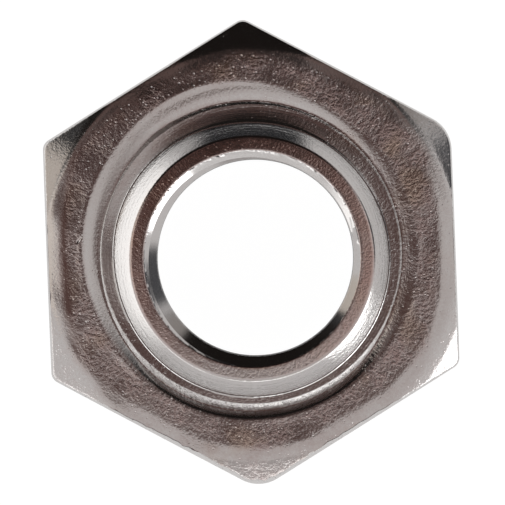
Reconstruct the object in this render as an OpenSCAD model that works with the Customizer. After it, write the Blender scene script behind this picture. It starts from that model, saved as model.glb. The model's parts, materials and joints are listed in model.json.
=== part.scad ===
// Adjusting nut: a forged hexagon nut with a fine thread and a low conical collar round the bore.
// One piece. Millimetres, +Z along the thread axis, origin on the axis in the seat face.

/* [Hexagon] */
// Width across the flats
across_flats = 22; // [21:0.5:27]
// Height from the seat face to the top face
body_h = 9.2; // [6:0.1:14]
// Rounding of the four crisp corners of the hexagon
corner_round = 0.6; // [0.2:0.1:1.2]
// Rounding of the two corners that the forging filled less
soft_corner_round = 1.9; // [1.2:0.1:2.5]

/* [Rolled edges] */
// How far in from each flat the top face starts to roll off
roll_w = 1.05; // [0.6:0.05:1.3]
// Rounding of that roll
roll_round = 2.3; // [1.8:0.1:4]

/* [Corner chamfers] */
// How far inside the flats the top face turns into the corner chamfer
crown_inset = 0.2; // [0:0.05:0.8]
// Rounding that blends the top face into the chamfer
crown_round = 2.2; // [0.5:0.1:3]
// How far inside the flats the seat face ends
seat_inset = 0.6; // [0.1:0.05:1.5]
// Slope of the corner chamfers from the face
chamfer_angle = 30; // [15:1:40]

/* [Thread] */
// Nominal thread diameter
thread_d = 12; // [10:0.5:13]
// Thread pitch
pitch = 1.25; // [1:0.25:1.75]
// How far the seat-side countersink reaches past the thread's radius
seat_sink_over = 0.3; // [0.1:0.05:0.6]
// How far the collar-side countersink stops short of the thread's radius
collar_sink_under = 0.14; // [0.05:0.01:0.35]
// Slope of both countersinks from the face
sink_angle = 30; // [20:1:45]
// How far the tapped thread runs off the forged hexagon's centre
thread_runout = 0.3; // [0:0.05:0.35]
// Direction of the hexagon's centre from the thread axis, counter-clockwise from +X
runout_angle = 138; // [0:1:359]

/* [Collar] */
// Height of the collar over the top face, before its edges are rounded
collar_h = 0.8; // [0.4:0.05:1.2]
// Width of the ring on top of the collar
crest_w = 0.7; // [0.4:0.05:1.2]
// Fall of that ring towards the outside
crest_fall = 6; // [1:1:12]
// Rounding of the edge between the ring and the collar's side
crest_round = 0.35; // [0.2:0.05:0.7]
// Rounding of the edge between the ring and the countersink
mouth_round = 0.35; // [0.1:0.05:0.5]
// Slope of the collar's conical side from the face
collar_angle = 43; // [30:1:60]
// How far the collar runs off the thread axis
collar_runout = 0.19; // [0.05:0.01:0.25]
// Direction of the collar's centre from the thread axis, counter-clockwise from +X
collar_runout_angle = 195; // [0:1:359]

/* [Ledge and groove] */
// Mean width of the ledge at the collar's foot
ledge_w = 0.74; // [0.56:0.02:0.9]
// Fall of the ledge towards the outside
ledge_fall = 9; // [2:1:14]
// Rounding of the ledge's outer edge
ledge_round = 0.08; // [0.04:0.01:0.1]
// Slope of the ledge's outer wall, down into the groove
ledge_wall_angle = 42; // [36:1:70]
// Depth of the groove below the top face
groove_depth = 0.34; // [0.24:0.01:0.4]
// Width of the groove's flat bottom
groove_w = 0.1; // [0.06:0.02:0.2]
// Slope of the groove's outer side, up to the top face
groove_angle = 28; // [24:1:36]

/* [Hidden] */
$fn = 128;

// A rounding's circle, against the one that only touches the edges.
arc_over = 1.001;
hexagon_sides = 6;
// The collar is turned from another start than the body, so that no two seams fall together.
collar_start = 90;
// Corners count counter-clockwise from +Y, and these two are the soft ones.
soft_corners = [3, 5];
corner_radius = across_flats / 2 / cos(180 / hexagon_sides);
// The forged outline is turned from stock that just clears the corners.
stock_clear = 1;
stock_r = corner_radius + stock_clear;

// Bore, on the thread axis. A metric nut's minor diameter is its nominal one less 1.0825 pitches.
minor_r = (thread_d - 1.0825 * pitch) / 2;
seat_sink_r = thread_d / 2 + seat_sink_over;
seat_sink_z = (seat_sink_r - minor_r) * tan(sink_angle);

// Collar and its countersink, on an axis of their own. The cone runs on below the ledge to join it.
collar_z = body_h + collar_h;
collar_sink_r = thread_d / 2 - collar_sink_under;
collar_sink_z = collar_z - collar_sink_r * tan(sink_angle);
crest_r = collar_sink_r + crest_w;
crest_z = collar_z - crest_w * tan(crest_fall);
crease_r = crest_r + (crest_z - body_h) / tan(collar_angle);
foot_depth = 0.1;
foot_r = crease_r + foot_depth / tan(collar_angle);
foot_z = body_h - foot_depth;

// Forged outline, on the hexagon's own axis, from the ledge outwards.
ledge_r = crease_r + ledge_w;
ledge_z = body_h - ledge_w * tan(ledge_fall);
ledge_inner_z = ledge_z + (ledge_r - crest_r) * tan(ledge_fall);
groove_z = body_h - groove_depth;
groove_r = ledge_r + (ledge_z - groove_z) / tan(ledge_wall_angle);
rim_r = groove_r + groove_w + groove_depth / tan(groove_angle);
// The face rolls into the groove on an arc that takes up most of the groove's slope.
rim_share = 0.9;
rim_round = rim_share * groove_depth / sin(groove_angle) / tan(groove_angle / 2);
roll_start = across_flats / 2 - roll_w;
crown_r = across_flats / 2 - crown_inset;
crown_chamfer_z = body_h - (stock_r - crown_r) * tan(chamfer_angle);
seat_r = across_flats / 2 - seat_inset;
seat_chamfer_z = (stock_r - seat_r) * tan(chamfer_angle);

function unit(v) = v / norm(v);
function on_circle(radius, angle) = radius * [cos(angle), sin(angle)];

hexagon_centre = on_circle(thread_runout, runout_angle);
collar_centre = on_circle(collar_runout, collar_runout_angle);

// The waste outside the arc that rounds a corner. Its circle is a hair larger than the tangent one,
// so that it crosses both edges cleanly.
module corner_waste(before, corner, after, radius) {
    to_before = unit(before - corner);
    to_after = unit(after - corner);
    half_angle = acos(to_before * to_after) / 2;
    reach = radius / tan(half_angle);
    outward = -unit(to_before + to_after);
    difference() {
        polygon([corner + reach * to_before, corner + reach * outward, corner + reach * to_after]);
        translate(corner - radius / sin(half_angle) * outward) circle(radius * arc_over);
    }
}

// Outline of [x, y, rounding] corners. A corner that is rounded points outwards.
module rounded_outline(corners) {
    count = len(corners);
    spot = [for (c = corners) [c[0], c[1]]];
    difference() {
        polygon(spot);
        for (i = [0 : count - 1])
            if (corners[i][2] > 0)
                corner_waste(spot[(i + count - 1) % count], spot[i], spot[(i + 1) % count], corners[i][2]);
    }
}

module hexagon() {
    rounded_outline([
        for (i = [0 : hexagon_sides - 1])
            let (spot = on_circle(corner_radius, 90 + i * 360 / hexagon_sides))
            let (soft = len(search(i, soft_corners)) > 0)
            [spot[0], spot[1], soft ? soft_corner_round : corner_round]
    ]);
}

// Half sections, as [radius, height, rounding].
module forged_section() {
    rounded_outline([
        [0, 0, 0],
        [seat_r, 0, 0],
        [stock_r, seat_chamfer_z, 0],
        [stock_r, crown_chamfer_z, 0],
        [crown_r, body_h, crown_round],
        [rim_r, body_h, rim_round],
        [groove_r + groove_w, groove_z, 0],
        [groove_r, groove_z, 0],
        [ledge_r, ledge_z, ledge_round],
        [crest_r, ledge_inner_z, 0],
        [0, ledge_inner_z, 0],
    ]);
}

// The waste outside the roll at the top of one flat.
module roll_waste_section() {
    translate([roll_start, body_h - roll_round])
        difference() {
            square([roll_w + stock_clear, roll_round + stock_clear]);
            circle(roll_round * arc_over);
        }
}

module rolled_body() {
    difference() {
        intersection() {
            linear_extrude(collar_z) hexagon();
            rotate_extrude() forged_section();
        }
        for (i = [0 : hexagon_sides - 1])
            rotate([90, 0, i * 360 / hexagon_sides])
                linear_extrude(2 * stock_r, center = true) roll_waste_section();
    }
}

module collar_section() {
    rounded_outline([
        [0, foot_z, 0],
        [foot_r, foot_z, 0],
        [crest_r, crest_z, crest_round],
        [collar_sink_r, collar_z, 0],
        [0, collar_z, 0],
    ]);
}

module bore_section() {
    polygon([
        [0, 0],
        [seat_sink_r, 0],
        [minor_r, seat_sink_z],
        [minor_r, collar_z],
        [0, collar_z],
    ]);
}

// Waste of the collar's countersink and of its rounded mouth.
module collar_sink_section() {
    bottom = [0, collar_sink_z];
    mouth = [collar_sink_r, collar_z];
    polygon([bottom, mouth, [0, collar_z]]);
    corner_waste(bottom, mouth, [crest_r, crest_z], mouth_round);
}

module adjusting_nut() {
    color("silver")
        difference() {
            union() {
                translate(hexagon_centre) rolled_body();
                translate(collar_centre) rotate(collar_start) rotate_extrude() collar_section();
            }
            translate(collar_centre) rotate(collar_start) rotate_extrude() collar_sink_section();
            rotate_extrude() bore_section();
        }
}

adjusting_nut();
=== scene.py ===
import bpy
import json
import math
import numpy as np
from mathutils import Matrix, Vector


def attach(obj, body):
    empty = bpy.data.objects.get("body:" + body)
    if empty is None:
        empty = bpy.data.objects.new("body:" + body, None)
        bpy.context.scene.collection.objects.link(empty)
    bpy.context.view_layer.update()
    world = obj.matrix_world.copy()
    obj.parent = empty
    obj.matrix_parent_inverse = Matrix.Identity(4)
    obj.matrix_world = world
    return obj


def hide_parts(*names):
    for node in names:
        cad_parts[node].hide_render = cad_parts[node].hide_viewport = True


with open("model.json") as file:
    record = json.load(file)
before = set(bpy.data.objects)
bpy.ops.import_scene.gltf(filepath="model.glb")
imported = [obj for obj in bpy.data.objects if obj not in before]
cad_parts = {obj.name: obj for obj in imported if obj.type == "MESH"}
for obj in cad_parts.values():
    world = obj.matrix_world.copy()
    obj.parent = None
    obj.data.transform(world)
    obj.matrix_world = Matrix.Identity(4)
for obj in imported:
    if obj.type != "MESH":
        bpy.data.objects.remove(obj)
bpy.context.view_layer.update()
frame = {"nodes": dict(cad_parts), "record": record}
mounts = {m["name"]: m for m in frame["record"]["mounts"]}
mm = 0.001
print("frame loaded:", sorted(frame["nodes"]))

# places that the record gives, in mm
threadAxis = np.array(mounts["thread"]["pos_m"][:2]) / mm
collarAxis = np.array(mounts["collar_seat"]["pos_m"][:2]) / mm
flatRight = np.array(mounts["spanner_flat_right"]["pos_m"][:2]) / mm
flatLeft = np.array(mounts["spanner_flat_left"]["pos_m"][:2]) / mm
hexAxis = (flatRight + flatLeft) / 2
halfFlats = (flatRight[0] - flatLeft[0]) / 2
minorRadius = mounts["thread"]["dims"]["r_mm"]
collarTop = mounts["collar_seat"]["pos_m"][2] / mm


# the nut, in mm and degrees
nutForm = {
    "columnsPerSide": 60,     # points along each side of the hexagon
    "cornerGather": 0.7,      # how far the points crowd to the corners
    "cornerRound": 0.6,
    "softCornerRound": 1.9,
    "softCorners": (3, 5),    # counted counter-clockwise from +Y
    "edgeRound": 0.14,        # bottom edges of the flats
    "edgeWidth": 0.10,        # bruised bevel along their top edges
    "edgeSpread": 0.14,       # wider at the worn lower edges
    "edgeRagged": 0.07,       # and uneven there
    "steepCorner": (120, 11.74, 38),  # one corner is chamfered more steeply: azimuth, start, angle
    "edgeAngle": (50, 64),
    "rollWidth": 1.05,        # the face rolls off towards each flat
    "rollRound": 2.3,
    "faceHeight": 9.2,
    "faceWave": 0.034,        # forged unevenness of the face
    "faceFall": ((0, 0.02), (45, 0.085), (90, -0.03), (130, -0.035), (180, -0.045), (228, 0.085),
                 (270, 0.02), (320, 0.055)),
    # softer roll at the right
    "edgeEase": ((35, 0.0), (70, 0.045), (145, 0.05), (180, 0.02), (215, 0.02), (240, 0.0)),
    "crownInset": 0.2,
    "crownRound": 2.2,
    "seatInset": 0.6,
    "seatRound": 0.5,
    "chamferAngle": 30,
    "threadDiameter": 12,
    "pitch": 1.25,
    "threadStart": 0.75,      # share of a turn
    "sinkAngle": 39,
    "seatSinkOver": 0.3,
    "collarSinkUnder": 0.14,
    "collarEdge": 9.994,      # height of the ring's inner edge, before it is rounded
    "mouthRough": 0.008,
    "mouthRound": 0.12,
    "crestWidth": 0.70,
    "crestFall": 6,
    "crestRound": 0.35,
    "collarAngle": 43,
    "coneCrown": 0.008,       # the cone bulges by this much
    "footLine": 0.028,        # turned line at its foot, with a narrow ridge outside it
    "footRidge": 0.045,
    "ledgeWidth": 0.74,
    "ledgeFall": 9,
    "ledgeRound": 0.06,
    # the ledge and the face aren't quite level round the nut: azimuth clockwise from +Y, mm
    "ledgeLift": ((0, -0.05), (22, 0.0), (45, 0.03), (75, 0.07), (150, 0.025), (200, 0.01),
                  (222, 0.065), (243, 0.07), (257, -0.025), (275, -0.03), (300, 0.05), (318, 0.02),
                  (336, -0.05)),
    "ledgeHollow": 0.07,
    "ledgeSink": ((262, 0.0), (276, 0.08), (292, 0.17), (322, 0.17), (340, 0.07), (352, 0.0)),
    "rimLift": ((40, 0.0), (250, 0.0), (290, 0.045), (320, 0.055), (345, 0.04), (5, 0.02)),
    "ledgeWallAngle": 35.5,
    # the groove round the nut: azimuth clockwise from +Y, depth, start and end of its outer roll
    "grooveRound": (
        (0, 0.25, 8.30, 9.45),
        (30, 0.14, 8.25, 8.85),
        (60, 0.04, 8.22, 9.00),
        (115, 0.06, 8.22, 8.95),
        (145, 0.33, 8.46, 8.98),
        (204, 0.36, 8.50, 9.00),
        (224, 0.22, 8.38, 8.92),
        (242, 0.15, 8.30, 8.90),
        (270, 0.19, 8.30, 9.15),
        (305, 0.07, 8.24, 9.30),
        (335, 0.22, 8.28, 9.52),
    ),
    "grainReach": 10.12,      # the grain gives way to the smooth rolled edge
    "grainCorner": 0.45,
}


def tanDeg(angle):
    return np.tan(np.radians(angle))


def sinDeg(angle):
    return np.sin(np.radians(angle))


def cosDeg(angle):
    return np.cos(np.radians(angle))


def columnAngles(form):
    share = np.arange(form["columnsPerSide"]) / form["columnsPerSide"]
    share = share - form["cornerGather"] * np.sin(2 * np.pi * share) / (2 * np.pi)
    return np.concatenate([math.radians(90 + 60 * side) + share * math.pi / 3 for side in range(6)])


def outlineReach(form, angle):
    # distance from the hexagon's centre to its rounded outline
    corner = np.round((angle - math.pi / 2) / (math.pi / 3))
    off = np.abs(angle - math.pi / 2 - corner * math.pi / 3)
    soft = np.isin(corner.astype(int) % 6, form["softCorners"])
    rounding = np.where(soft, form["softCornerRound"], form["cornerRound"])
    inner = (halfFlats - rounding) / cosDeg(30)
    turn = np.arctan2(rounding * sinDeg(30), inner + rounding * cosDeg(30))
    onArc = inner * np.cos(off) + np.sqrt(np.maximum(rounding ** 2 - (inner * np.sin(off)) ** 2, 0))
    onFlat = halfFlats / np.cos(math.pi / 6 - off)
    return np.where(off < turn, onArc, onFlat)


def forgedWave(x, y):
    # long, shallow hollows of a forged face, from -1 to 1
    return (np.sin(1.10 * x + 0.63 * y + 0.4) * np.cos(0.52 * x - 0.98 * y + 1.7)
            + 0.6 * np.sin(1.71 * x - 1.35 * y + 2.9) + 0.4 * np.sin(2.3 * y + 0.9 * x + 5.1)) / 2


def smoothRamp(low, high, value):
    share = np.clip((value - low) / (high - low), 0, 1)
    return share * share * (3 - 2 * share)


def lobe(angle, azimuth, spread):
    # soft bump round the nut, azimuth clockwise from +Y in degrees
    off = (90 - np.degrees(angle) - azimuth + 180) % 360 - 180
    return np.exp(-(off / spread) ** 2)


def aroundNut(angle, stops, column):
    # a value that changes round the nut, softened between its stops
    azimuth = 90 - np.degrees(angle)
    places = [stop[0] for stop in stops]
    values = [stop[column] for stop in stops]
    spread = (-12, -6, 0, 6, 12)  # rounds off the corners between the given places
    return np.mean([np.interp(azimuth + off, places, values, period=360) for off in spread], axis=0)


# finishes and tints that change over the skin, each from 0 to about 1; warm also carries a painted
# reflection on the left roll
zoneNames = ("grain", "turned", "drawn", "brown", "warm", "dull", "cut")


class RingSkin:
    # rings of points, from the collar's mouth outwards and down to the seat's mouth
    def __init__(self, angle):
        self.angle = angle
        self.across = np.cos(angle)
        self.up = np.sin(angle)
        self.points = []
        self.zones = {name: [] for name in zoneNames}

    def spot(self, axis, reach, height):
        reach = np.broadcast_to(reach, self.angle.shape)
        height = np.broadcast_to(height, self.angle.shape)
        return np.stack([axis[0] + reach * self.across, axis[1] + reach * self.up, height], axis=1)

    def add(self, points, **zone):
        self.points.append(points)
        for name in zoneNames:
            self.zones[name].append(np.broadcast_to(zone.get(name, 0.0), self.angle.shape))


def arcBetween(skin, axis, centre, radius, start, end, count, **zone):
    # a quarter-like fillet in the section: angles run from straight up towards the outside
    for turn in np.linspace(np.radians(start), np.radians(end), count):
        reach = centre[0] + radius * np.sin(turn)
        height = centre[1] + radius * np.cos(turn)
        skin.add(skin.spot(axis, reach, height), **zone)


def collarRings(form, skin):
    sink, fall, side = form["sinkAngle"], form["crestFall"], form["collarAngle"]
    sinkReach = form["threadDiameter"] / 2 - form["collarSinkUnder"]
    # rounded mouth, on the collar's axis but with the thread's columns
    tuck = form["mouthRound"] * tanDeg((sink + fall) / 2)
    mouthReach = sinkReach - tuck * cosDeg(sink)
    shift = collarAxis - threadAxis
    along = skin.across * shift[0] + skin.up * shift[1]
    mouth = along + np.sqrt(mouthReach ** 2 - shift @ shift + along ** 2)
    rough = np.sin(41 * skin.angle + 3 * np.sin(13 * skin.angle)) * np.cos(23 * skin.angle + 1)
    mouthHeight = form["collarEdge"] - tuck * sinDeg(sink)
    skin.add(skin.spot(threadAxis, mouth + form["mouthRough"] * rough, mouthHeight),
             grain=0.15, brown=0.2, cut=0.5)
    crestFrom = sinkReach + tuck * cosDeg(fall)
    dome = (crestFrom - form["mouthRound"] * sinDeg(fall),
            form["collarEdge"] - tuck * sinDeg(fall) - form["mouthRound"] * cosDeg(fall))
    arcBetween(skin, collarAxis, dome, form["mouthRound"], 5 - sink, fall, 6,
               grain=0.32, brown=0.7, warm=0.3)
    crestReach = sinkReach + form["crestWidth"]
    crestHeight = form["collarEdge"] - form["crestWidth"] * tanDeg(fall)
    tuck = form["crestRound"] * tanDeg((side - fall) / 2)
    filletReach = crestReach - tuck * cosDeg(fall) - form["crestRound"] * sinDeg(fall)
    filletHeight = crestHeight + tuck * sinDeg(fall) - form["crestRound"] * cosDeg(fall)
    creaseReach = crestReach + (crestHeight - form["faceHeight"]) / tanDeg(side)
    coneFrom = filletReach + form["crestRound"] * sinDeg(side)
    # the ring and the top of its fillet are tinted brown and red all round, much less towards the bottom
    brownAwayFromBottom = 1 - 0.85 * lobe(skin.angle, 185, 55)
    for share in (0.25, 0.5, 0.75):
        reach = crestFrom + share * (crestReach - tuck - crestFrom)
        skin.add(skin.spot(collarAxis, reach, form["collarEdge"] - (reach - sinkReach) * tanDeg(fall)),
                 grain=0.3, turned=0.3, brown=brownAwayFromBottom, warm=brownAwayFromBottom)
    crown = form["coneCrown"] * 4 / (creaseReach - coneFrom)
    for turn in np.linspace(fall, math.degrees(math.atan(tanDeg(side) - crown)), 11):
        reach = filletReach + form["crestRound"] * sinDeg(turn)
        height = filletHeight + form["crestRound"] * cosDeg(turn)
        left = 1 - (turn - fall) / (side - fall)
        filletBrown = left * brownAwayFromBottom
        skin.add(skin.spot(collarAxis, reach, height), grain=0.2 * left, turned=0.5,
                 brown=filletBrown, warm=filletBrown)
    # the cone meets the ledge along a crease that isn't quite a circle
    ledgeReach = creaseReach + form["ledgeWidth"]
    ledgeHeight = form["faceHeight"] - form["ledgeWidth"] * tanDeg(form["ledgeFall"])
    crease = np.full(skin.angle.shape, creaseReach)
    for step in range(6):
        off = skin.spot(collarAxis, crease, 0)[:, :2] - hexAxis
        height = ledgeHeight + (ledgeReach - np.hypot(off[:, 0], off[:, 1])) * tanDeg(form["ledgeFall"])
        height = height - aroundNut(skin.angle, form["ledgeSink"], 1)
        crease = crestReach + (crestHeight - height) / tanDeg(side)

    def cone(reach, sunk=0.0):
        share = (reach - coneFrom) / (crease - coneFrom)
        bulge = 4 * form["coneCrown"] * share * (1 - share)
        slant = crestHeight - (reach - crestReach) * tanDeg(side)
        return skin.spot(collarAxis, reach, slant + bulge - sunk)

    for share in (0.15, 0.3, 0.45, 0.6, 0.75, 0.88, 0.97):
        skin.add(cone(coneFrom + share * (crease - coneFrom)), turned=0.6 + 0.6 * share)
    line, ridge = form["footLine"], form["footRidge"]
    foot = cone(crease)
    for reach, sunk in ((crease, 0), (crease + line, line), (crease + 2 * line, 0)):
        skin.add(skin.spot(collarAxis, reach, foot[:, 2] - sunk), turned=0.4)
    ridgeFoot = foot[:, 2] - ridge * tanDeg(form["ledgeWallAngle"])
    ridgeEnd = skin.spot(collarAxis, crease + 2 * line + ridge, ridgeFoot)
    return ridgeEnd, ledgeReach, ledgeHeight


def ledgeRings(form, skin, foot, ledgeReach, ledgeHeight):
    fall, rounding = form["ledgeFall"], form["ledgeRound"]
    # its outer wall runs out at the upper left
    wall = form["ledgeWallAngle"] - (form["ledgeWallAngle"] - fall - 2) * lobe(skin.angle, 318, 26)
    streaks = 0.9 + 2.2 * lobe(skin.angle, 0, 32)
    satin = lobe(skin.angle, 295, 40)
    sparkle = 1.2 * lobe(skin.angle, 230, 32) + lobe(skin.angle, 48, 32) + lobe(skin.angle, 100, 30)
    tuck = rounding * tanDeg((wall - fall) / 2)
    filletReach = ledgeReach - tuck * cosDeg(fall) - rounding * sinDeg(fall)
    filletHeight = ledgeHeight + tuck * sinDeg(fall) - rounding * cosDeg(fall)
    filletHeight = filletHeight + aroundNut(skin.angle, form["ledgeLift"], 1)
    outer = skin.spot(hexAxis, filletReach + rounding * sinDeg(fall),
                      filletHeight + rounding * cosDeg(fall))
    # at the top the ledge is hollow: steep at the collar's foot and almost level at its edge
    hollow = form["ledgeHollow"] * lobe(skin.angle, 2, 32)
    blunt = lobe(skin.angle, 97, 36)
    for share in (0.0, 0.15, 0.3, 0.45, 0.6, 0.75, 0.9):
        ledge = foot + share * (outer - foot)
        ledge[:, 2] -= 4 * share * (1 - share) * hollow
        skin.add(ledge, grain=0.25, turned=streaks, brown=min(1, 4 * share) * 0.45, dull=satin)
    arcBetween(skin, hexAxis, (filletReach, filletHeight), rounding, fall, wall, 5,
               grain=0.4 + 1.2 * sparkle, turned=0.3, dull=satin + blunt)
    # wall, floor of the groove and the roll up to the face, which change round the nut
    depth, rollFrom, rimEnd = (aroundNut(skin.angle, form["grooveRound"], column) for column in (1, 2, 3))
    wallFrom = filletReach + rounding * sinDeg(wall)
    wallTop = filletHeight + rounding * cosDeg(wall)
    floorHeight = np.minimum(form["faceHeight"] - depth, wallTop - 0.004)
    depth = form["faceHeight"] - floorHeight
    wallTo = wallFrom + (wallTop - floorHeight) / tanDeg(wall)
    for share in (0.35, 0.7, 1.0):
        reach = wallFrom + share * (wallTo - wallFrom)
        skin.add(skin.spot(hexAxis, reach, wallTop + share * (floorHeight - wallTop)),
                 grain=0.85 - 0.5 * satin + 1.2 * sparkle, dull=satin + blunt)
    rollFrom = np.maximum(rollFrom, wallTo + 0.06)
    for share in (0.2, 0.6):
        skin.add(skin.spot(hexAxis, wallTo + share * (rollFrom - wallTo), floorHeight),
                 grain=0.35 - 0.3 * satin, turned=streaks - 0.9, brown=0.7, dull=satin)
    stepped = 0.55 * lobe(skin.angle, 340, 28)
    late = 0.9 * lobe(skin.angle, 283, 42)
    lift = aroundNut(skin.angle, form["rimLift"], 1)
    for share in np.linspace(0, 1, 17):
        rise = 0.2 * share + 0.8 * smoothRamp(0, 1, share) ** 2
        bowl = (1 - late) * (1 - share) ** 2 + late * (1 - rise)
        steps = 1 - 0.5 * smoothRamp(0, 0.36, share) - 0.5 * smoothRamp(0.64, 1, share)
        reach = rollFrom + share * (rimEnd - rollFrom)
        height = form["faceHeight"] - depth * (bowl + stepped * (steps - bowl)) + lift * (1 - bowl)
        least = 0.06 + 0.3 * max(0, 1 - 6 * share) + 0.55 * lobe(skin.angle, 88, 45)
        least = least + 0.2 * lobe(skin.angle, 335, 40)
        grain = faceGrain(form, skin, reach, rimEnd, least)
        skin.add(skin.spot(hexAxis, reach, height), grain=grain, turned=lapLines(skin, reach), brown=grain,
                 dull=(1 - share) * lobe(skin.angle, 312, 26))
    return rimEnd


def lapLines(skin, reach):
    # faint laps where the groove runs out on the right
    return 2.2 * lobe(skin.angle, 92, 34) * (1 - smoothRamp(8.45, 8.95, reach))


def faceGrain(form, skin, reach, rimEnd, least):
    # how strongly the forged grain shows: little in the groove's roll and on the rolled edges
    outline = outlineReach(form, skin.angle)
    left = lobe(skin.angle, 275, 38)
    end = form["grainReach"] + (outline - halfFlats) * form["grainCorner"] - 0.12 * left
    end = end + 0.42 * lobe(skin.angle, 326, 32) + 0.38 * lobe(skin.angle, 36, 28)
    inside = smoothRamp(rimEnd - 0.32, rimEnd + 0.12, reach)
    outside = 1 - smoothRamp(end - 0.5 + 0.3 * left, end + 0.35 - 0.2 * left, reach)
    strength = 1 - 0.28 * lobe(skin.angle, 285, 50) + 0.2 * lobe(skin.angle, 45, 35)
    strength = strength - 0.1 * lobe(skin.angle, 150, 60)
    return np.maximum(least, inside * outside * strength)


def crownHeight(form, angle, reach):
    # the lower of the corner chamfer and the roll towards the flat, with its slope
    chamfer, rounding = form["chamferAngle"], form["crownRound"]
    crownReach = halfFlats - form["crownInset"]
    start = crownReach - rounding * tanDeg(chamfer / 2)
    past = np.clip(reach - start, 0, rounding * sinDeg(chamfer))
    chamferDrop = rounding - np.sqrt(rounding ** 2 - past ** 2)
    chamferDrop = chamferDrop + np.maximum(reach - start - past, 0) * tanDeg(chamfer)
    corner = np.round((angle - math.pi / 2) / (math.pi / 3))
    off = math.pi / 6 - np.abs(angle - math.pi / 2 - corner * math.pi / 3)
    rollPast = np.clip(reach * np.cos(off) - halfFlats + form["rollWidth"], 0, form["rollRound"])
    rollDrop = form["rollRound"] - np.sqrt(form["rollRound"] ** 2 - rollPast ** 2)
    slope = np.where(rollDrop > chamferDrop, np.arcsin(rollPast / form["rollRound"]),
                     np.arcsin(past / rounding))
    azimuth, steepFrom, steepAngle = form["steepCorner"]
    steeper = (tanDeg(steepAngle) - tanDeg(chamfer)) * (lobe(angle, azimuth, 25) > 0.3)
    steepDrop = np.maximum(reach - steepFrom, 0) * steeper
    return form["faceHeight"] - np.maximum(chamferDrop, rollDrop) - steepDrop, np.degrees(slope)


def faceRings(form, skin, rimEnd):
    outline = outlineReach(form, skin.angle)
    bruised = lobe(skin.angle, 180, 50)
    ragged = np.sin(67 * skin.angle + 2 * np.sin(29 * skin.angle)) * np.cos(31 * skin.angle + 0.7)
    edge = form["edgeWidth"] + (form["edgeSpread"] + form["edgeRagged"] * ragged) * bruised
    bevelFrom = outline - edge
    faceFall = aroundNut(skin.angle, form["faceFall"], 1)
    rimLift = aroundNut(skin.angle, form["rimLift"], 1)
    edgeEase = aroundNut(skin.angle, form["edgeEase"], 1)
    for share in np.concatenate([np.linspace(0.06, 0.3, 5), np.linspace(0.35, 1.0, 20)]):
        reach = rimEnd + share * (bevelFrom - rimEnd)
        points = skin.spot(hexAxis, reach, crownHeight(form, skin.angle, reach)[0])
        calm = smoothRamp(rimEnd, rimEnd + 0.4, reach) * (1 - smoothRamp(10.6, 11.2, reach))
        points[:, 2] += form["faceWave"] * calm * (forgedWave(points[:, 0], points[:, 1]) - 0.7)
        onFace = 1 - smoothRamp(10.4, 11.4, reach)
        points[:, 2] -= faceFall * smoothRamp(rimEnd - 0.2, 10.5, reach) * onFace
        points[:, 2] += rimLift * (1 - smoothRamp(rimEnd, 10.7, reach))
        points[:, 2] -= edgeEase * smoothRamp(9.3, 10.7, reach) * (1 - smoothRamp(10.6, 11.5, reach))
        least = 0.15 + 0.3 * bruised - 0.09 * lobe(skin.angle, 300, 35)
        grain = faceGrain(form, skin, reach, rimEnd, least)
        rollStart = form["grainReach"] + (outline - halfFlats) * form["grainCorner"]
        # painted reflection: an amber line along the inner edge of the rolled edge at the left, put into
        # the colour as a warm tint
        paintedAmberReflection = 0.7 * lobe(skin.angle, 275, 38) * np.exp(-((reach - rollStart) / 0.28) ** 2)
        skin.add(points, grain=grain, turned=lapLines(skin, reach), brown=grain, warm=paintedAmberReflection)
    # bruised bevel at the top of the flats, a little uneven along them
    height, slope = crownHeight(form, skin.angle, bevelFrom)
    lowAngle, highAngle = (angle - 8 * lobe(skin.angle, 88, 40) for angle in form["edgeAngle"])
    steps = ((0.12, 0.5 * (slope + lowAngle)), (0.3, lowAngle), (0.6, 0.5 * (lowAngle + highAngle)),
             (0.88, highAngle), (1.0, 78))
    before = 0.0
    for share, tilt in steps:
        height = height - (share - before) * edge * np.tan(np.radians(tilt))
        skin.add(skin.spot(hexAxis, bevelFrom + share * edge, height),
                 grain=0.1 + 1.1 * lobe(skin.angle, 175, 65), drawn=0.5)
        before = share
    return outline, height


def sideRings(form, skin, outline, sideTop):
    edge = form["edgeRound"]
    angle = form["chamferAngle"]
    seatReach = halfFlats - form["seatInset"]
    # the chamfer on the seat side, with its own rounded edges
    slope = np.radians(angle)
    filletTo = outline - edge + edge * math.sin(slope)
    chamferHeight = (filletTo - seatReach) * tanDeg(angle)
    sideFoot = chamferHeight + edge * math.cos(slope)
    for share in (0.02, 0.12, 0.3, 0.5, 0.7, 0.88, 1.0):
        skin.add(skin.spot(hexAxis, outline, sideTop + share * (sideFoot - sideTop)),
                 grain=0.14, drawn=1.0, brown=0.35)
    for share in (0.33, 0.67, 1.0):
        turn = math.pi / 2 - share * (math.pi / 2 - slope)
        reach = outline - edge + edge * math.sin(turn)
        skin.add(skin.spot(hexAxis, reach, sideFoot - edge * math.cos(turn)), drawn=0.4)
    tuck = form["seatRound"] * tanDeg(angle / 2)
    chamferTo = seatReach + tuck * cosDeg(angle)
    for share in (0.35, 0.7):
        reach = filletTo + share * (chamferTo - filletTo)
        skin.add(skin.spot(hexAxis, reach, (reach - seatReach) * tanDeg(angle)), grain=0.06, turned=0.4)
    for turn in np.radians(np.linspace(angle, 0, 5)):
        reach = seatReach - tuck + form["seatRound"] * math.sin(turn)
        skin.add(skin.spot(hexAxis, reach, form["seatRound"] * (1 - math.cos(turn))),
                 grain=0.15, turned=0.6)
    # plain seat face, from the hexagon's axis to the thread's
    inner = skin.spot(threadAxis, form["threadDiameter"] / 2 + form["seatSinkOver"], 0)
    outer = skin.points[-1]
    for share in (0.2, 0.4, 0.6, 0.8, 1.0):
        skin.add(outer + share * (inner - outer), grain=0.25, turned=1.0)


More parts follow.
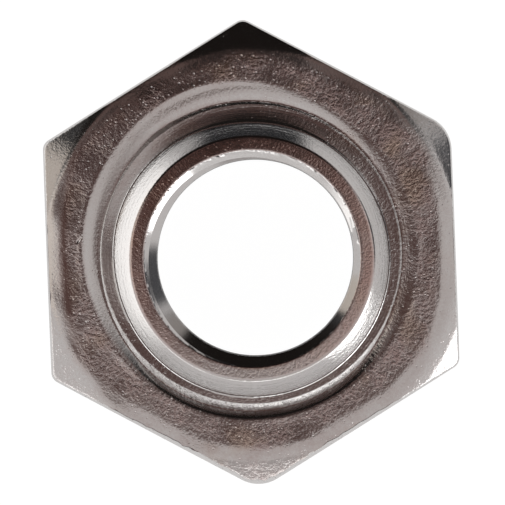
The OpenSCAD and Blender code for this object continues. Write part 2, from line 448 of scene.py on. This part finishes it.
def threadRows():
    # one turn of an internal thread: crest flat, flank, root flat, flank
    stops = [(0.0, 0.0), (0.25, 0.0), (0.5625, 1.0), (0.6875, 1.0), (1.0, 0.0)]
    rows = []
    for (fromTurn, fromDepth), (toTurn, toDepth) in zip(stops[:-1], stops[1:]):
        count = 3 if fromDepth == toDepth else 5
        for step in range(count):
            share = step / count
            depth = fromDepth + share * (toDepth - fromDepth)
            rows.append((fromTurn + share * (toTurn - fromTurn), depth, step == 0))
    return rows


def threadSkin(form, skin, topRing, seatRing):
    # helical grid of the thread, cut off at both mouths, which it shares with the rings
    count = len(skin.angle)
    oneTurn = threadRows()
    perTurn = len(oneTurn)
    turns = int(collarTop / form["pitch"]) + 4
    rise = (skin.angle - skin.angle[0]) / (2 * math.pi)
    start = np.array([turn - 2 + phase for turn in range(turns) for phase, share, edge in oneTurn])
    height = form["pitch"] * (start[:, None] + form["threadStart"] + rise)
    share = np.tile([share for phase, share, edge in oneTurn], turns)[:, None]
    edges = np.tile([edge for phase, share, edge in oneTurn], turns)
    thread = minorRadius + (form["threadDiameter"] / 2 - minorRadius) * share + 0 * height
    # countersinks at both ends, the upper one on the collar's axis
    sinkSlope = 1 / tanDeg(form["sinkAngle"])
    shift = collarAxis - threadAxis
    along = skin.across * shift[0] + skin.up * shift[1]
    upper = form["threadDiameter"] / 2 - form["collarSinkUnder"] - (form["collarEdge"] - height) * sinkSlope
    offAxis = along + np.sqrt(np.maximum(upper ** 2 - shift @ shift + along ** 2, 0))
    lower = form["threadDiameter"] / 2 + form["seatSinkOver"] - height * sinkSlope
    sink = np.maximum(np.where(upper > 1, offAxis, 0), lower)
    gap = thread - sink
    reach = np.maximum(thread, sink)
    # the nearer point moves to where the thread runs out into a countersink, but not off a thread edge
    moved = height.copy()
    ends = np.zeros(height.shape, bool)
    for row in range(len(height) - 1):
        crossed = gap[row] * gap[row + 1] < 0
        part = np.where(crossed, gap[row] / np.where(crossed, gap[row] - gap[row + 1], 1), 0)
        place = height[row] + part * (height[row + 1] - height[row])
        wide = thread[row] + part * (thread[row + 1] - thread[row])
        takeNext = np.where(gap[row] > 0, edges[row] | (part >= 0.5), ~edges[row + 1] & (part >= 0.5))
        for target, chosen in ((row, crossed & ~takeNext), (row + 1, crossed & takeNext)):
            moved[target] = np.where(chosen, place, moved[target])
            reach[target] = np.where(chosen, wide, reach[target])
            ends[target] |= chosen
    points, keys, runOut = [], [], set()
    near = 0.02
    top = skin.points[0][0, 2] - near
    for row in range(len(moved)):
        spots = skin.spot(threadAxis, reach[row], moved[row])
        rowKeys = []
        for column in range(count):
            if moved[row, column] < near:
                rowKeys.append(seatRing + column)
            elif moved[row, column] > top:
                rowKeys.append(topRing + column)
            else:
                rowKeys.append(-1 - len(points))
                points.append(spots[column])
                if ends[row, column]:
                    runOut.add(rowKeys[-1])
        keys.append(rowKeys)
    return points, keys, perTurn, runOut


def buildNut(form):
    skin = RingSkin(columnAngles(form))
    count = len(skin.angle)
    foot, ledgeReach, ledgeHeight = collarRings(form, skin)
    rimEnd = ledgeRings(form, skin, foot, ledgeReach, ledgeHeight)
    outline, sideTop = faceRings(form, skin, rimEnd)
    sideRings(form, skin, outline, sideTop)
    print("nut rings:", len(skin.points), "of", count, "points")
    faces = []
    for ring in range(len(skin.points) - 1):
        for column in range(count):
            after = (column + 1) % count
            near, far = ring * count, (ring + 1) * count
            faces.append((near + column, far + column, far + after, near + after))
    seatRing = (len(skin.points) - 1) * count
    inside, keys, perTurn, runOut = threadSkin(form, skin, 0, seatRing)
    first = len(skin.points) * count

    def index(key):
        return key if key >= 0 else first - 1 - key

    for row in range(len(keys) - 1):
        for column in range(count):
            if column < count - 1:
                nextLow, nextHigh = keys[row][column + 1], keys[row + 1][column + 1]
            elif row + 1 + perTurn < len(keys):
                nextLow, nextHigh = keys[row + perTurn][0], keys[row + 1 + perTurn][0]
            else:
                continue
            loop = [keys[row][column], keys[row + 1][column], nextHigh, nextLow]
            # a face that the run-out crosses is split along it
            if runOut.issuperset(loop[0::2]):
                parts = (loop[:3], loop[2:] + loop[:1])
            elif runOut.issuperset(loop[1::2]):
                parts = (loop[1:], loop[3:] + loop[:2])
            else:
                parts = (loop,)
            for part in parts:
                kept = [index(key) for at, key in enumerate(part) if key != part[at - 1]]
                if len(kept) > 2:
                    faces.append(kept)
    print("thread points:", len(inside))
    places = np.concatenate([np.concatenate(skin.points), np.array(inside)]) * mm
    mesh = bpy.data.meshes.new("adjustingNut")
    mesh.from_pydata(places.tolist(), [], faces)
    for name in zoneNames:
        layer = mesh.attributes.new(name, "FLOAT", "POINT")
        within = np.full(len(inside), 1.0 if name == "cut" else 0.0)
        layer.data.foreach_set("value", np.concatenate(skin.zones[name] + [within]).astype(np.float32))
    mesh.polygons.foreach_set("use_smooth", [True] * len(mesh.polygons))
    mesh.set_sharp_from_angle(angle=math.radians(32))
    mesh.validate()
    piece = bpy.data.objects.new("nutBody", mesh)
    bpy.context.scene.collection.objects.link(piece)
    return piece


# bright plating over the forged and turned steel
platingLook = {
    "pale": (0.70, 0.69, 0.685, 1),
    "brown": (0.50, 0.395, 0.38, 1),  # in the grain and on the collar's ring
    "amber": (0.57, 0.44, 0.35, 1),  # in a few patches of it
    # red also paints an amber reflection along the inner edge of the left roll
    "red": (0.66, 0.44, 0.38, 1),    # on the ring
    "smoothRough": 0.12,
    "grainRough": 0.20,
    "dullRough": 0.25,        # added where the ledge is dull
    "grainTurn": 50.0,        # forged grain round the axis, for each radian
    "grainOut": 4.6,          # and for each mm outwards
    "pits": 6.5,              # small bright pits, for each mm
    "pitShare": 0.30,
    "lines": 13.0,            # tool lines for each mm
    "relief": 0.056,          # mm
    "fine": 8.0,              # fine mottling all over, for each mm
    "nickAt": (-9.45, 1.29, 0),
    "nickSize": (0.30, 0.11), # half length and half width
    "nickTurn": 49,
}


def newNode(tree, kind, **settings):
    made = tree.nodes.new("ShaderNode" + kind)
    for name, value in settings.items():
        setattr(made, name, value)
    return made


def maths(tree, operation, first, second=None):
    made = newNode(tree, "Math", operation=operation)
    for at, value in enumerate((first, second)):
        if isinstance(value, (int, float)):
            made.inputs[at].default_value = value
        elif value is not None:
            tree.links.new(value, made.inputs[at])
    return made.outputs[0]


def zoneValue(tree, name):
    return newNode(tree, "Attribute", attribute_name=name, attribute_type="GEOMETRY").outputs["Fac"]


def polarPlace(tree, place, axis, perRadian, perMm):
    # a direction round the axis and a distance from it, so that noise has no seam
    moved = newNode(tree, "VectorMath", operation="SUBTRACT")
    tree.links.new(place, moved.inputs[0])
    moved.inputs[1].default_value = (axis[0], axis[1], 0)
    flat = newNode(tree, "VectorMath", operation="MULTIPLY")
    tree.links.new(moved.outputs[0], flat.inputs[0])
    flat.inputs[1].default_value = (1, 1, 0)
    reach = newNode(tree, "VectorMath", operation="LENGTH")
    tree.links.new(flat.outputs[0], reach.inputs[0])
    heading = newNode(tree, "VectorMath", operation="NORMALIZE")
    tree.links.new(flat.outputs[0], heading.inputs[0])
    around = newNode(tree, "VectorMath", operation="SCALE")
    tree.links.new(heading.outputs[0], around.inputs[0])
    around.inputs["Scale"].default_value = perRadian
    outwards = maths(tree, "MULTIPLY", reach.outputs["Value"], perMm)
    lift = newNode(tree, "CombineXYZ")
    tree.links.new(outwards, lift.inputs["Z"])
    total = newNode(tree, "VectorMath", operation="ADD")
    tree.links.new(around.outputs[0], total.inputs[0])
    tree.links.new(lift.outputs[0], total.inputs[1])
    return total.outputs[0]


def noiseAt(tree, place, scale, detail=2.0, roughness=0.5):
    made = newNode(tree, "TexNoise")
    made.inputs["Scale"].default_value = scale
    made.inputs["Detail"].default_value = detail
    made.inputs["Roughness"].default_value = roughness
    tree.links.new(place, made.inputs["Vector"])
    return made.outputs["Fac"]


def centred(tree, value):
    return maths(tree, "SUBTRACT", value, 0.5)


def rangeMap(tree, value, fromLow, fromHigh, toLow, toHigh):
    made = newNode(tree, "MapRange", interpolation_type="SMOOTHSTEP")
    tree.links.new(value, made.inputs["Value"])
    limits = {"From Min": fromLow, "From Max": fromHigh, "To Min": toLow, "To Max": toHigh}
    for name, number in limits.items():
        made.inputs[name].default_value = number
    return made.outputs["Result"]


def platingMaterial(look):
    made = bpy.data.materials.new("brightPlating")
    made.use_nodes = True
    tree = made.node_tree
    shader = tree.nodes["Principled BSDF"]
    shader.inputs["Metallic"].default_value = 1.0
    place = newNode(tree, "VectorMath", operation="SCALE")
    tree.links.new(newNode(tree, "TexCoord").outputs["Object"], place.inputs[0])
    place.inputs["Scale"].default_value = 1 / mm
    place = place.outputs[0]
    grain, turned, drawn, brown, warm, dull, cut = (zoneValue(tree, name) for name in zoneNames)
    # patchy grain of the forged face, drawn out a little from the axis
    cloud = noiseAt(tree, place, 0.9, 3.0)
    patchy = maths(tree, "MULTIPLY", grain, rangeMap(tree, cloud, 0.3, 0.7, 0.45, 1.4))
    alongGrain = polarPlace(tree, place, hexAxis, look["grainTurn"], look["grainOut"])
    worms = noiseAt(tree, alongGrain, 1.0, 3.0, 0.6)
    grainHeight = maths(tree, "MULTIPLY", centred(tree, worms), patchy)
    # small pits that glint
    pits = newNode(tree, "TexVoronoi", feature="F1")
    pits.inputs["Scale"].default_value = look["pits"]
    tree.links.new(place, pits.inputs["Vector"])
    chance = newNode(tree, "SeparateColor")
    tree.links.new(pits.outputs["Color"], chance.inputs[0])
    chosen = rangeMap(tree, chance.outputs[0], 1 - look["pitShare"], 1.02 - look["pitShare"], 0.0, 1.0)
    pitDepth = rangeMap(tree, pits.outputs["Distance"], 0.05, 0.36, 1.0, 0.0)
    pitHeight = maths(tree, "MULTIPLY", pitDepth, chosen)
    pitHeight = maths(tree, "MULTIPLY", pitHeight, chance.outputs[1])
    pitted = maths(tree, "MAXIMUM", patchy, maths(tree, "MULTIPLY", brown, 0.15))
    pitHeight = maths(tree, "MULTIPLY", pitHeight, pitted)
    # fine tool lines round the collar and the seat
    lines = noiseAt(tree, polarPlace(tree, place, collarAxis, 1.6, look["lines"]), 1.0, 2.0)
    lineHeight = maths(tree, "MULTIPLY", maths(tree, "MULTIPLY", centred(tree, lines), 0.08), turned)
    # draw marks up the flats
    streak = newNode(tree, "VectorMath", operation="MULTIPLY")
    tree.links.new(place, streak.inputs[0])
    streak.inputs[1].default_value = (7.0, 7.0, 0.45)
    marks = noiseAt(tree, streak.outputs[0], 1.0, 2.0)
    markHeight = maths(tree, "MULTIPLY", maths(tree, "MULTIPLY", centred(tree, marks), 0.11), drawn)
    # one small nick in the face
    nick = newNode(tree, "VectorMath", operation="SUBTRACT")
    tree.links.new(place, nick.inputs[0])
    nick.inputs[1].default_value = look["nickAt"]
    slant = newNode(tree, "VectorRotate", rotation_type="Z_AXIS")
    tree.links.new(nick.outputs[0], slant.inputs["Vector"])
    slant.inputs["Angle"].default_value = math.radians(-look["nickTurn"])
    oval = newNode(tree, "VectorMath", operation="MULTIPLY")
    tree.links.new(slant.outputs[0], oval.inputs[0])
    oval.inputs[1].default_value = (1 / look["nickSize"][0], 1 / look["nickSize"][1], 0)
    fromNick = newNode(tree, "VectorMath", operation="LENGTH")
    tree.links.new(oval.outputs[0], fromNick.inputs[0])
    nickDepth = rangeMap(tree, fromNick.outputs["Value"], 0.1, 1.0, 0.8, 0.0)
    mottle = noiseAt(tree, place, look["fine"], 2.0)
    fineHeight = maths(tree, "MULTIPLY", centred(tree, mottle), rangeMap(tree, cut, 0.0, 1.0, 0.09, 0.012))
    fineHeight = maths(tree, "ADD", fineHeight, markHeight)
    height = maths(tree, "ADD", grainHeight, maths(tree, "ADD", lineHeight, fineHeight))
    height = maths(tree, "SUBTRACT", height, maths(tree, "ADD", nickDepth, pitHeight))
    bump = newNode(tree, "Bump")
    bump.inputs["Distance"].default_value = look["relief"] * mm
    bump.inputs["Strength"].default_value = 1.0
    tree.links.new(height, bump.inputs["Height"])
    tree.links.new(bump.outputs["Normal"], shader.inputs["Normal"])
    # gloss and tint follow the same grain
    gloss = maths(tree, "ADD", maths(tree, "MULTIPLY", grain, look["grainRough"] - look["smoothRough"]),
                  maths(tree, "MULTIPLY", centred(tree, cloud), 0.08))
    gloss = maths(tree, "ADD", gloss, maths(tree, "MULTIPLY", dull, look["dullRough"]))
    gloss = maths(tree, "ADD", gloss, look["smoothRough"])
    tree.links.new(gloss, shader.inputs["Roughness"])
    tint = newNode(tree, "ValToRGB")
    tint.color_ramp.elements[0].color = look["pale"]
    tint.color_ramp.elements[1].color = look["brown"]
    tint.color_ramp.elements[0].position = 0.0
    tint.color_ramp.elements[1].position = 1.0
    wormSpots = maths(tree, "MULTIPLY", centred(tree, worms), 1.2)
    cloudSpots = maths(tree, "MULTIPLY", centred(tree, cloud), 1.6)
    spots = maths(tree, "ADD", wormSpots, cloudSpots)
    spots = maths(tree, "MULTIPLY", maths(tree, "ADD", spots, 0.75), brown)
    mottleSpots = maths(tree, "MULTIPLY", centred(tree, mottle), 0.5)
    tree.links.new(maths(tree, "ADD", spots, mottleSpots), tint.inputs["Fac"])
    patches = rangeMap(tree, noiseAt(tree, place, 0.42, 2.0), 0.52, 0.72, 0.0, 0.55)
    tinted = tint.outputs["Color"]
    amberShare = maths(tree, "MULTIPLY", patches, brown)
    # red tint on the ring, and the painted amber reflection along the left roll
    redShare = maths(tree, "MULTIPLY", warm, 0.5)
    for share, colour in ((amberShare, "amber"), (redShare, "red")):
        mixed = newNode(tree, "Mix", data_type="RGBA")
        tree.links.new(share, mixed.inputs["Factor"])
        tree.links.new(tinted, mixed.inputs["A"])
        mixed.inputs["B"].default_value = look[colour]
        tinted = mixed.outputs["Result"]
    tree.links.new(tinted, shader.inputs["Base Color"])
    return made


nutBody = buildNut(nutForm)
nutBody.data.materials.append(platingMaterial(platingLook))
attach(nutBody, "root")
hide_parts("adjusting_nut")
print("nut made:", len(nutBody.data.polygons), "faces")


# white floor and pale room
floorLook = {
    "halfWide": 3.0,          # metres
    "colour": (0.85, 0.85, 0.85, 1),
    "glow": 0.97,             # the white that the eye sees
    "shade": 0.11,
    "metalGlow": 0.40,        # the metal sees more of the floor's own light and shadow
    "metalShade": 0.62,
    "room": (0.65, 0.625, 0.615, 1),
}


def makeFloor(look):
    half = look["halfWide"]
    mesh = bpy.data.meshes.new("floor")
    low = -0.01 * mm
    corners = [(-half, -half, low), (half, -half, low), (half, half, low), (-half, half, low)]
    mesh.from_pydata(corners, [], [(0, 1, 2, 3)])
    floor = bpy.data.objects.new("floor", mesh)
    bpy.context.scene.collection.objects.link(floor)
    made = bpy.data.materials.new("whiteFloor")
    made.use_nodes = True
    tree = made.node_tree
    tree.nodes.clear()
    plain = newNode(tree, "BsdfDiffuse")
    plain.inputs["Color"].default_value = look["colour"]
    rays = newNode(tree, "LightPath")
    inMetal = rays.outputs["Is Glossy Ray"]
    shade = newNode(tree, "BsdfDiffuse")
    tree.links.new(rangeMap(tree, inMetal, 0, 1, look["shade"], look["metalShade"]), shade.inputs["Color"])
    glow = newNode(tree, "Emission")
    tree.links.new(rangeMap(tree, inMetal, 0, 1, look["glow"], look["metalGlow"]), glow.inputs["Strength"])
    white = newNode(tree, "AddShader")
    tree.links.new(shade.outputs[0], white.inputs[0])
    tree.links.new(glow.outputs[0], white.inputs[1])
    seen = maths(tree, "MAXIMUM", rays.outputs["Is Camera Ray"], rays.outputs["Is Glossy Ray"])
    seen = maths(tree, "MAXIMUM", seen, rays.outputs["Is Transmission Ray"])
    mixed = newNode(tree, "MixShader")
    tree.links.new(seen, mixed.inputs[0])
    tree.links.new(plain.outputs[0], mixed.inputs[1])
    tree.links.new(white.outputs[0], mixed.inputs[2])
    tree.links.new(mixed.outputs[0], newNode(tree, "OutputMaterial").inputs["Surface"])
    mesh.materials.append(made)
    return floor


makeFloor(floorLook)
room = bpy.data.worlds.new("paleRoom")
bpy.context.scene.world = room
room.use_nodes = True
room.node_tree.nodes["Background"].inputs["Color"].default_value = floorLook["room"]
room.node_tree.nodes["Background"].inputs["Strength"].default_value = 1.0
print("floor and room made")


# studio cards, in degrees: azimuth clockwise from +Y seen from above, tilt from straight up,
# sizes as half angles
cardLooks = {
    "overhead": {"azimuth": 130, "tilt": 9, "wide": 51, "tall": 51, "colour": (0.55, 0.51, 0.495, 1),
                 "glow": 1.0, "solid": 0.12, "away": 0.50},
    "warmCard": {"azimuth": 320, "tilt": 5, "wide": 25, "tall": 23, "colour": (0.10, 0.061, 0.054, 1),
                 "glow": 1.0, "solid": 0.36, "away": 0.46},
    "darkFlag": {"azimuth": 355, "tilt": 48, "wide": 56, "tall": 46, "colour": (0.011, 0.009, 0.008, 1),
                 "glow": 1.0, "solid": 0.5, "away": 0.36},
    "warmLeft": {"azimuth": 316, "tilt": 27, "wide": 25, "tall": 13, "colour": (0.12, 0.078, 0.07, 1),
                 "glow": 1.0, "solid": 0.15, "away": 0.34},
    "warmRight": {"azimuth": 38, "tilt": 28, "wide": 17, "tall": 13, "colour": (0.15, 0.105, 0.095, 1),
                  "glow": 1.0, "solid": 0.15, "away": 0.335},
    "lowFlag": {"azimuth": 2, "tilt": 84, "wide": 30, "tall": 14, "colour": (0.03, 0.03, 0.032, 1),
                "glow": 1.0, "solid": 0.6, "away": 0.35},
    "greyFlag": {"azimuth": 78, "tilt": 66, "wide": 20, "tall": 16, "colour": (0.075, 0.075, 0.08, 1),
                 "glow": 1.0, "solid": 0.7, "away": 0.44},
    "lowGlow": {"azimuth": 278, "tilt": 79, "wide": 55, "tall": 17, "colour": (1.0, 0.98, 0.96, 1),
                "glow": 1.35, "solid": 0.4, "away": 0.42},
    "stripGlow": {"azimuth": 168, "tilt": 71, "wide": 36, "tall": 5, "colour": (1.0, 0.99, 0.98, 1),
                  "glow": 1.9, "solid": 0.5, "away": 0.43},
    "stripLeft": {"azimuth": 226, "tilt": 72, "wide": 30, "tall": 4, "colour": (1.0, 0.99, 0.98, 1),
                  "glow": 1.9, "solid": 0.5, "away": 0.435},
    "dimCard": {"azimuth": 180, "tilt": 58, "wide": 24, "tall": 6, "colour": (0.40, 0.375, 0.365, 1),
                "glow": 1.0, "solid": 0.6, "away": 0.40},
    "tanCard": {"azimuth": 276, "tilt": 38, "wide": 17, "tall": 16, "colour": (0.78, 0.71, 0.65, 1),
                "glow": 1.0, "solid": 0.5, "away": 0.40},
    "paleCard": {"azimuth": 48, "tilt": 62, "wide": 8, "tall": 10, "colour": (0.31, 0.285, 0.27, 1),
                 "glow": 1.0, "solid": 0.5, "away": 0.34},
    "tanCorner": {"azimuth": 291, "tilt": 60, "wide": 12, "tall": 13, "colour": (0.58, 0.52, 0.465, 1),
                  "glow": 1.0, "solid": 0.7, "away": 0.34},
    "cornerFlag": {"azimuth": 304.5, "tilt": 60, "wide": 4.5, "tall": 9, "colour": (0.02, 0.02, 0.022, 1),
                   "glow": 1.0, "solid": 0.5, "away": 0.33},
}


def makeCard(name, look):
    turn, tilt = math.radians(look["azimuth"]), math.radians(look["tilt"])
    out = Vector((math.sin(turn) * math.sin(tilt), math.cos(turn) * math.sin(tilt), math.cos(tilt)))
    side = Vector((math.cos(turn), -math.sin(turn), 0))
    rise = side.cross(out)
    half = (look["away"] * tanDeg(look["wide"]), look["away"] * tanDeg(look["tall"]))
    centre = out * look["away"] + Vector((0, 0, collarTop * mm))
    corners = [centre + side * half[0] * a + rise * half[1] * b
               for a, b in ((-1, -1), (1, -1), (1, 1), (-1, 1))]
    mesh = bpy.data.meshes.new(name)
    mesh.from_pydata([tuple(c) for c in corners], [], [(0, 1, 2, 3)])
    layer = mesh.uv_layers.new(name="card")
    for at, place in enumerate(((0, 0), (1, 0), (1, 1), (0, 1))):
        layer.data[at].uv = place
    card = bpy.data.objects.new(name, mesh)
    bpy.context.scene.collection.objects.link(card)
    made = bpy.data.materials.new(name)
    made.use_nodes = True
    tree = made.node_tree
    tree.nodes.clear()
    # solid in the middle and clear towards the edge
    middle = newNode(tree, "VectorMath", operation="DISTANCE")
    tree.links.new(newNode(tree, "TexCoord").outputs["UV"], middle.inputs[0])
    middle.inputs[1].default_value = (0.5, 0.5, 0)
    clear = rangeMap(tree, middle.outputs["Value"], 0.5 * look["solid"], 0.5, 0.0, 1.0)
    glow = newNode(tree, "Emission")
    glow.inputs["Color"].default_value = look["colour"]
    glow.inputs["Strength"].default_value = look["glow"]
    mixed = newNode(tree, "MixShader")
    tree.links.new(clear, mixed.inputs[0])
    tree.links.new(glow.outputs[0], mixed.inputs[1])
    tree.links.new(newNode(tree, "BsdfTransparent").outputs[0], mixed.inputs[2])
    tree.links.new(mixed.outputs[0], newNode(tree, "OutputMaterial").inputs["Surface"])
    mesh.materials.append(made)
    card.visible_camera = False
    card.visible_diffuse = False
    card.visible_shadow = False
    return card


for cardName, cardLook in cardLooks.items():
    makeCard(cardName, cardLook)
print("cards made:", sorted(cardLooks))


# dark skirting round the table's edge, which draws the thin dark lines along the nut's edges
skirtLook = {"away": 0.55, "high": 0.022, "colour": (0.10, 0.09, 0.085, 1)}


def makeSkirt(look):
    turns = np.linspace(0, 2 * math.pi, 49)[:-1]
    ring = [(look["away"] * math.sin(t), look["away"] * math.cos(t)) for t in turns]
    places = [(x, y, 0.001) for x, y in ring] + [(x, y, look["high"]) for x, y in ring]
    count = len(ring)
    sides = [(at, (at + 1) % count, count + (at + 1) % count, count + at) for at in range(count)]
    mesh = bpy.data.meshes.new("skirting")
    mesh.from_pydata(places, [], sides)
    skirt = bpy.data.objects.new("skirting", mesh)
    bpy.context.scene.collection.objects.link(skirt)
    made = bpy.data.materials.new("skirting")
    made.use_nodes = True
    tree = made.node_tree
    tree.nodes.clear()
    glow = newNode(tree, "Emission")
    glow.inputs["Color"].default_value = look["colour"]
    tree.links.new(glow.outputs[0], newNode(tree, "OutputMaterial").inputs["Surface"])
    mesh.materials.append(made)
    skirt.visible_camera = False
    skirt.visible_diffuse = False
    skirt.visible_shadow = False


makeSkirt(skirtLook)


# one soft lamp at the lower right
lampLook = {"azimuth": 127, "tilt": 76, "away": 0.40, "wide": 0.28, "tall": 0.115, "radiance": 2.2}


def makeLamp(look):
    turn, tilt = math.radians(look["azimuth"]), math.radians(look["tilt"])
    out = Vector((math.sin(turn) * math.sin(tilt), math.cos(turn) * math.sin(tilt), math.cos(tilt)))
    data = bpy.data.lights.new("softLamp", "AREA")
    data.shape = "ELLIPSE"
    data.size, data.size_y = look["wide"], look["tall"]
    data.energy = look["radiance"] * math.pi * math.pi * look["wide"] * look["tall"] / 4
    lamp = bpy.data.objects.new("softLamp", data)
    bpy.context.scene.collection.objects.link(lamp)
    side = Vector((math.cos(turn), -math.sin(turn), 0))
    rise = side.cross(out)
    turned = Matrix((side, rise, out)).transposed().to_4x4()
    turned.translation = out * look["away"]
    lamp.matrix_world = turned
    lamp.visible_camera = False
    return lamp


makeLamp(lampLook)


# camera straight over the bore
cameraLook = {
    "away": 0.60,             # metres over the top edge
    "frameWide": 27.17,       # mm of the nut's face across the picture
    "roll": -2.17,
    "aim": (0.075, 0.070),    # mm off the hexagon's centre
    "edgeHeight": 8.95,
}


def makeCamera(look):
    data = bpy.data.cameras.new("benchCamera")
    data.sensor_width = 36
    data.lens = data.sensor_width * look["away"] / (look["frameWide"] * mm)
    data.clip_start, data.clip_end = 0.01, 20
    camera = bpy.data.objects.new("benchCamera", data)
    bpy.context.scene.collection.objects.link(camera)
    camera.location = ((hexAxis[0] + look["aim"][0]) * mm, (hexAxis[1] + look["aim"][1]) * mm,
                       look["edgeHeight"] * mm + look["away"])
    camera.rotation_euler = (0, 0, math.radians(look["roll"]))
    bpy.context.scene.camera = camera


makeCamera(cameraLook)
bpy.context.scene.view_settings.view_transform = "Standard"
print("lamp and camera made")
